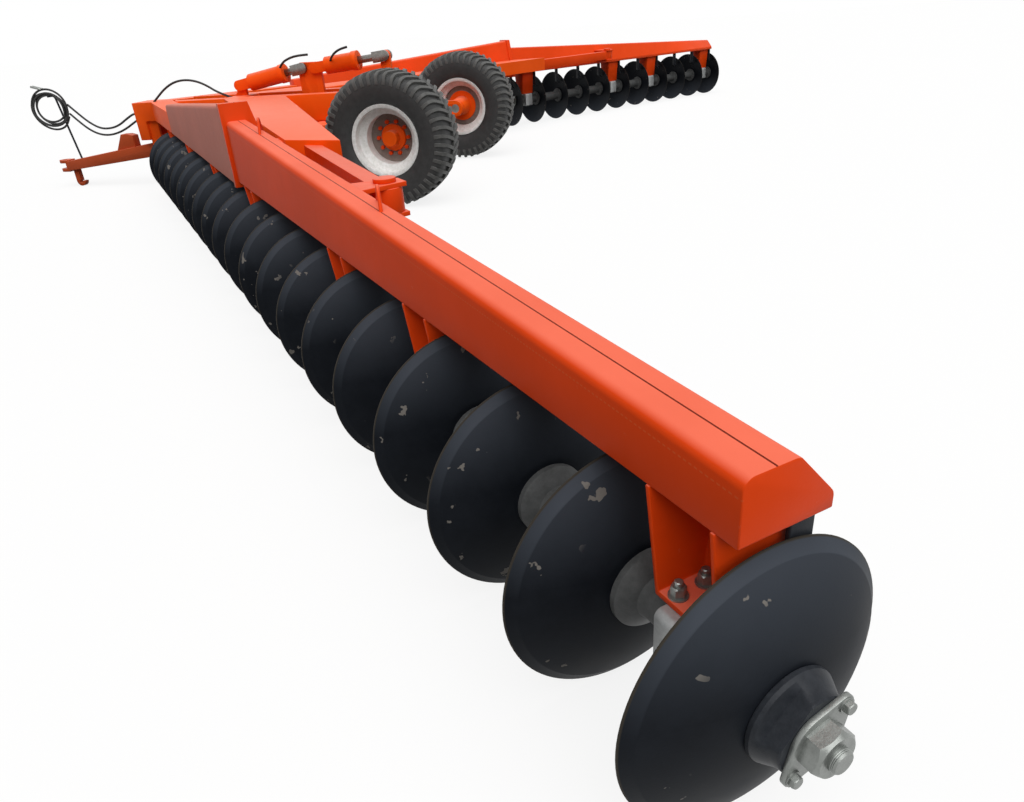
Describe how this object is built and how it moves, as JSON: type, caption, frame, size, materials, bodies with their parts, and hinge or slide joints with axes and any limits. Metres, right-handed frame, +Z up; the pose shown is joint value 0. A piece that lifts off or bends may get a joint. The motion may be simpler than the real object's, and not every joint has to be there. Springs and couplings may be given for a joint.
{
  "type": "trailed disc harrow",
  "caption": "Wide trailed disc harrow with two swept-back gangs of dished discs, a central frame with lifting wheels, lift cylinders and a hinged tongue with a hitch.",
  "frame": {"origin": "on the ground, on the centre line, half way along the machine without its hoses", "axes": "+X to the right of travel, +Y forward along the tongue, +Z up"},
  "size_m": [14.0304, 7.8494, 1.3148],
  "materials": {
    "orange_paint": "satin orange paint, faded and scuffed on the tops",
    "disc_steel": "dark blue-black coated steel with chipped rims",
    "dark_casting": "dark grey painted casting",
    "silver_paint": "silver paint on castings",
    "black_steel": "black painted flat and round bar",
    "tyre": "dusty black rubber",
    "rim_paint": "silver-white rim paint",
    "rod_chrome": "polished piston rod",
    "hose_rubber": "black hydraulic hose",
    "zinc": "zinc plated steel"
  },
  "bodies": {
    "frame": {"bearings": "silver_paint", "brace_brackets": "orange_paint", "brace_left": "orange_paint", "brace_pins": "zinc", "brace_right": "orange_paint", "cylinder_posts": "orange_paint", "frame_arm_left": "orange_paint", "frame_arm_right": "orange_paint", "frame_ties": "orange_paint", "gang_beam_inner_left": "orange_paint", "gang_beam_inner_right": "orange_paint", "gang_beam_outer_left": "orange_paint", "gang_beam_outer_right": "orange_paint", "hose_arch": "hose_rubber", "nose": "orange_paint", "rockshaft_bearings": "orange_paint", "scrapers": "black_steel", "spine_beams": "orange_paint", "spine_crosses": "orange_paint", "standards": "orange_paint"},
    "gang_outer_left": {"discs_outer_left": "disc_steel", "spools_outer_left": "dark_casting", "gang_ends_outer_left": "dark_casting"},
    "gang_inner_left": {"discs_inner_left": "disc_steel", "spools_inner_left": "dark_casting", "gang_ends_inner_left": "dark_casting"},
    "wheel_left": {"tyre_left": "tyre", "rim_left": "rim_paint", "hub_left": "orange_paint"},
    "gang_outer_right": {"discs_outer_right": "disc_steel", "spools_outer_right": "dark_casting", "gang_ends_outer_right": "dark_casting"},
    "gang_inner_right": {"discs_inner_right": "disc_steel", "spools_inner_right": "dark_casting", "gang_ends_inner_right": "dark_casting"},
    "wheel_right": {"tyre_right": "tyre", "rim_right": "rim_paint", "hub_right": "orange_paint"},
    "axle": {"rockshaft": "orange_paint", "wheel_arms": "orange_paint", "stub_axles": "zinc"},
    "barrel_front": {"barrel_front": "orange_paint", "hose_whip_front": "hose_rubber"},
    "rod_front": {"rod_front": "rod_chrome"},
    "barrel_rear": {"barrel_rear": "orange_paint", "hose_whip_rear": "hose_rubber"},
    "rod_rear": {"rod_rear": "rod_chrome"},
    "tongue": {"tongue_beam": "orange_paint", "tongue_bracket": "orange_paint", "hitch": "dark_casting", "parking_hook": "dark_casting", "hose_stand": "black_steel", "hose_coil": "hose_rubber", "hose_couplers": "zinc", "hose_upper": "hose_rubber", "hose_lower": "hose_rubber"}
  },
  "joints": [
    {"name": "gang_outer_left_spin", "type": "hinge", "parent": "frame", "child": "gang_outer_left", "pos_m": [-6.796, -3.59883, 0.33], "axis": [0.7536, 0.6574, 0], "continuous": true},
    {"name": "gang_inner_left_spin", "type": "hinge", "parent": "frame", "child": "gang_inner_left", "pos_m": [-6.796, -3.59883, 0.33], "axis": [0.7536, 0.6574, 0], "continuous": true},
    {"name": "gang_outer_right_spin", "type": "hinge", "parent": "frame", "child": "gang_outer_right", "pos_m": [6.796, -3.59883, 0.33], "axis": [-0.7536, 0.6574, 0], "continuous": true},
    {"name": "gang_inner_right_spin", "type": "hinge", "parent": "frame", "child": "gang_inner_right", "pos_m": [6.796, -3.59883, 0.33], "axis": [-0.7536, 0.6574, 0], "continuous": true},
    {"name": "lift", "type": "hinge", "parent": "frame", "child": "axle", "pos_m": [0, 0.261, 0.54], "axis": [1, 0, 0], "range_deg": [-6, 14]},
    {"name": "wheel_left_spin", "type": "hinge", "parent": "axle", "child": "wheel_left", "pos_m": [-1.2, -0.819, 0.575], "axis": [1, 0, 0], "continuous": true},
    {"name": "wheel_right_spin", "type": "hinge", "parent": "axle", "child": "wheel_right", "pos_m": [1.2, -0.819, 0.575], "axis": [1, 0, 0], "continuous": true},
    {"name": "barrel_front_tilt", "type": "hinge", "parent": "frame", "child": "barrel_front", "pos_m": [0, 1.281, 1], "axis": [1, 0, 0], "range_deg": [-2, 1]},
    {"name": "rod_front_stroke", "type": "slide", "parent": "barrel_front", "child": "rod_front", "axis": [0, -0.9855, 0.1695], "range_m": [-0.07, 0.16]},
    {"name": "barrel_rear_tilt", "type": "hinge", "parent": "axle", "child": "barrel_rear", "pos_m": [0, 0.385, 1.128], "axis": [1, 0, 0], "range_deg": [-14, 6.1]},
    {"name": "rod_rear_stroke", "type": "slide", "parent": "barrel_rear", "child": "rod_rear", "axis": [0, -0.9957, 0.0926], "range_m": [-0.15, 0.066]},
    {"name": "tongue_float", "type": "hinge", "parent": "frame", "child": "tongue", "pos_m": [0, 2.401, 0.398], "axis": [1, 0, 0], "range_deg": [-4, 12], "deforming": ["hose_upper", "hose_lower"]}
  ],
  "couplings": [
    {"joint": "barrel_front_tilt", "follows": "lift", "ratio": -0.12572},
    {"joint": "rod_front_stroke", "follows": "lift", "m_per_rad": 0.63657},
    {"joint": "barrel_rear_tilt", "follows": "lift", "ratio": -0.97433},
    {"joint": "rod_rear_stroke", "follows": "lift", "m_per_rad": -0.59918}
  ]
}
